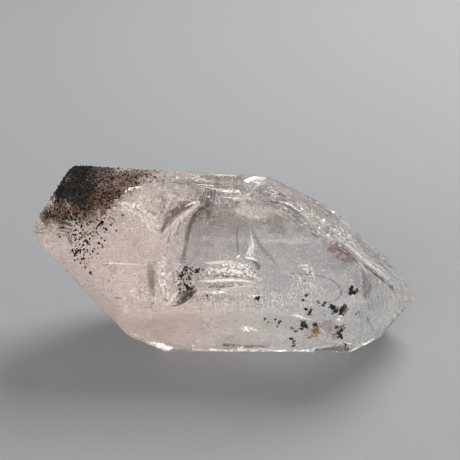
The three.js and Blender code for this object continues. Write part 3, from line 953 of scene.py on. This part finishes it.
# Painted glints: the chain of sparkles on the long slope, the glints of the top strip and the bright lines
# of the pink strip.
BRIGHT_HATCHES = [
    ((229, 246), (194, 202), 0.03, 92, (5, 10), (0.9, 1.8), 34, 1.0),
    ((262, 398), (180, 200), 0.62, 30, (1.5, 4), (1.0, 2.4), 120, 1.0),
    ((150, 262), (173, 190), 0.05, 60, (2, 6), (0.8, 2.2), 60, 1.0),
    ((155, 172), (240, 304), 0.0, 80, (2, 7), (0.8, 2.2), 70, 0.9),
    ((110, 156), (200, 226), 0.3, 50, (3, 9), (0.6, 1.4), 40, 0.7),
    ((300, 350), (255, 300), 0.1, 20, (2, 6), (0.8, 1.8), 24, 0.7),
    ((372, 402), (272, 320), 0.2, 70, (3, 12), (0.8, 2.2), 40, 0.9),
]
HATCHES = [
    ((262, 400), (178, 204), 0.62, 33, (4, 14), (0.5, 1.3), 260, 0.6),
    ((262, 392), (180, 200), 0.62, 118, (2, 6), (0.5, 1.1), 150, 0.55),
    ((150, 296), (175, 202), 0.05, 4, (4, 14), (0.6, 1.6), 120, 0.6),
    ((196, 262), (186, 204), 0.05, 100, (3, 8), (0.6, 1.4), 80, 0.8),
    ((50, 160), (206, 296), 0.02, 2, (4, 16), (0.8, 1.8), 110, 0.2),
    ((84, 180), (200, 300), 0.1, 84, (3, 9), (0.6, 1.4), 130, 0.3),
    ((192, 345), (208, 262), 0.06, 4, (5, 22), (0.7, 1.6), 60, 0.22),
    ((110, 370), (298, 340), 0.0, 0, (4, 14), (0.8, 1.8), 120, 0.2),
    ((360, 404), (266, 330), 0.3, 75, (5, 14), (0.6, 1.6), 70, 0.6),
]


# How far the strokes stray from their direction in degrees, how much they bend, their width at
# both ends in pixels, their share of the zone's strength and their depth in mm.
STROKE_STRAY = 5
STROKE_BEND = 0.08
STROKE_END = 0.4
STROKE_SHARES = (0.4, 1)
STROKE_DEPTHS = (0.03, 0.12)


# The strokes of some zones, as routes of films.
def hatching(zones, draw):
    strokes = []
    for columns, rows, fall, direction, lengths, widths, count, most in zones:
        for _ in range(count):
            x = draw.uniform(*columns)
            y = draw.uniform(*rows) + (x - columns[0]) * fall
            turn = math.radians(direction + draw.gauss(0, STROKE_STRAY))
            half = Vector((math.cos(turn), math.sin(turn))) * draw.uniform(*lengths) / 2
            bend = draw.gauss(0, STROKE_BEND) * half.length / 4
            route = [
                (x - half.x, y - half.y, STROKE_END),
                (x - half.y * bend, y + half.x * bend, draw.uniform(*widths)),
                (x + half.x, y + half.y, STROKE_END),
            ]
            strokes.append((route, draw.uniform(*STROKE_SHARES) * most, draw.uniform(*STROKE_DEPTHS)))
    return strokes


# Silvery films are partly healed cracks that hold liquid and partly painted highlights and glints. Crushed
# films are painted sparkle of the crumbs. Dark ones are partly dark inclusions and partly painted shade,
# and rusty ones hold iron. The gaps of the crushed stretches are painted shade between the crumbs; they lie
# a little deeper than the crumbs and are a little weaker.
HIGHLIGHT_WHITE = (0.99, 0.97, 0.94, 1)
SPARKLE_WHITE = (1, 0.985, 0.965, 1)
SHADE = (0.03, 0.023, 0.019, 1)
GAP_SHADE_BROWN = (0.2, 0.16, 0.135, 1)
RUST = (0.36, 0.21, 0.13, 1)
GAP_STRENGTH = 0.8
GAP_DEEPER = 0.05
hatch_draw = random.Random(77)
bright_strokes = hatching(HATCHES + BRIGHT_HATCHES, hatch_draw)
dark_strokes = hatching(HATCHES + DARK_HATCHES, hatch_draw)
# Painted shade: the gaps are dark films that lie between the white crumbs.
shade_gap_films = [(route, GAP_STRENGTH * share, depth + GAP_DEEPER) for route, share, depth in CRUSHED_RELIEF_AND_SPARKLES]
# White films: healed cracks, and painted highlights and glints.
highlight_finish = film_finish("silvery_film", HIGHLIGHT_WHITE, roughness=0.25, patch=0.6, none=0.3, full=0.45)
# Dark films: dark inclusions, and painted shade along the scar and the ledges.
shade = film_finish("dark_film", SHADE, roughness=0.4, patch=0.8, none=0.28, full=0.45)
rust = film_finish("rusty_film", RUST, roughness=0.5, patch=1.0, none=0.3, full=0.6)
# Painted sparkle: white crumbs in broken patches that stand in for glints off the crushed crystal.
sparkle_finish = film_finish("crushed_film", SPARKLE_WHITE, roughness=0.3, patch=0.5, none=0.5, full=0.58)
# Painted shade between the crumbs, in brown-dark patches.
shade_gaps = film_finish("crack_gaps", GAP_SHADE_BROWN, roughness=0.4, patch=0.62, none=0.52, full=0.62)
for name, routes, finish, slot in (
    ("silvery_films", BRIGHT_FILMS + bright_strokes, highlight_finish, "veil"),
    ("crushed_films", CRUSHED_RELIEF_AND_SPARKLES, sparkle_finish, "veil"),
    ("crack_gaps", shade_gap_films, shade_gaps, "veil"),
    ("dark_films", DARK_FILMS + dark_strokes, shade, "dark_inclusions"),
    ("rusty_films", RUST_FILMS, rust, "iron_stain"),
):
    piece = films(name, routes, finish)
    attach(piece, "root")


# Iron stain. Brown iron oxide, in fine grains that fade away from the black end, and in one
# yellow-brown lump near the bottom with a few crumbs round it.
BROWN_CROWD = [
    (100, 178, (9, 5), 700), (122, 178, (11, 5), 600), (145, 176, (8, 4), 160), (98, 196, (7, 6), 420),
    (80, 208, (9, 5), 420), (60, 214, (8, 4), 380), (45, 215, (4, 4), 160), (112, 190, (8, 5), 500),
    (130, 183, (8, 4), 300), (104, 204, (8, 4), 160),
]
OCHRE_LUMP = [(316, 331, (1.5, 1.8), 66), (311, 337, (1.3, 1.0), 12), (315, 325, (1, 1), 8)]
BROWN_SIZES = (0.12, 0.42)
BROWN_DEPTHS = (-0.04, 0.7)
OCHRE_SIZES = (0.3, 0.8)
OCHRE_DEPTHS = (0.6, 1.2)
DARK_RUST = (0.12, 0.055, 0.028, 1)
LIGHT_RUST = (0.36, 0.19, 0.095, 1)
DARK_OCHRE = (0.42, 0.24, 0.07, 1)
LIGHT_OCHRE = (0.62, 0.42, 0.17, 1)

rusty = two_toned("iron_oxide", 0.8, (0.4, 0.6), DARK_RUST, LIGHT_RUST, Roughness=0.7)
ochre = two_toned("ochre_lump", 0.6, (0.4, 0.6), DARK_OCHRE, LIGHT_OCHRE, Roughness=0.6)
draw = random.Random(31)
browns = clusters(draw, BROWN_CROWD, BROWN_SIZES, BROWN_DEPTHS)
crumbs = clusters(draw, OCHRE_LUMP, OCHRE_SIZES, OCHRE_DEPTHS)
for piece in (
    sown("brown_crowd", browns, rough_grain("brown_grain", 1, 13), rusty, 14),
    sown("ochre_lump", crumbs, rough_grain("ochre_grain", 2, 15), ochre, 16),
):
    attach(piece, "root")


# Floor and light of the studio. A plain pale floor under an even pale sky, a small lamp high behind
# the crystal at the right, and a wide low lamp in front that is kept out of reflections. They
# aren't part of the object.
FLOOR_SIDE = 3.0
FLOOR_COLOUR = (0.22, 0.223, 0.231, 1)
SKY_COLOUR = (0.94, 0.96, 1, 1)
SKY_STRENGTH = 0.46
LAMPS = {
    "window_lamp": {
        "place": (0.22, 0.4, 0.5),
        "size": (0.45, 0.45),
        "power": 5.8,
        "colour": (1, 0.985, 0.96),
        "reflected": True,
    },
    "front_lamp": {
        "place": (-0.3, -1.0, 0.27),
        "size": (2.2, 0.7),
        "power": 25.0,
        "colour": (1, 0.98, 0.96),
        "reflected": False,
    },
}

floor_mesh = bpy.data.meshes.new("floor")
half = FLOOR_SIDE / 2
floor_mesh.from_pydata(
    [(-half, -half, 0), (half, -half, 0), (half, half, 0), (-half, half, 0)], [], [(0, 1, 2, 3)]
)
floor = placed("floor", floor_mesh)
pale, _, _ = finish_with("pale_floor", Base_Color=FLOOR_COLOUR, Roughness=0.8)
floor_mesh.materials.append(pale)

for name, lamp in LAMPS.items():
    light = bpy.data.lights.new(name, "AREA")
    light.shape = "ELLIPSE"
    light.size, light.size_y = lamp["size"]
    light.energy = lamp["power"]
    light.color = lamp["colour"]
    lamp_object = bpy.data.objects.new(name, light)
    scene.collection.objects.link(lamp_object)
    lamp_object.location = lamp["place"]
    lamp_object.visible_glossy = lamp["reflected"]
    aim = CAMERA_TARGET - lamp_object.location
    lamp_object.rotation_euler = aim.to_track_quat("-Z", "Y").to_euler()

world = bpy.data.worlds.new("studio")
scene.world = world
world.use_nodes = True
sky = world.node_tree.nodes["Background"]
sky.inputs["Color"].default_value = SKY_COLOUR
sky.inputs["Strength"].default_value = SKY_STRENGTH
scene.view_settings.view_transform = "Standard"
# Light crosses many films and grains before it leaves the crystal.
scene.cycles.transparent_max_bounces = 32
scene.cycles.max_bounces = 20
scene.cycles.diffuse_bounces = 8
scene.cycles.transmission_bounces = 16
scene.cycles.sample_clamp_indirect = 6.0
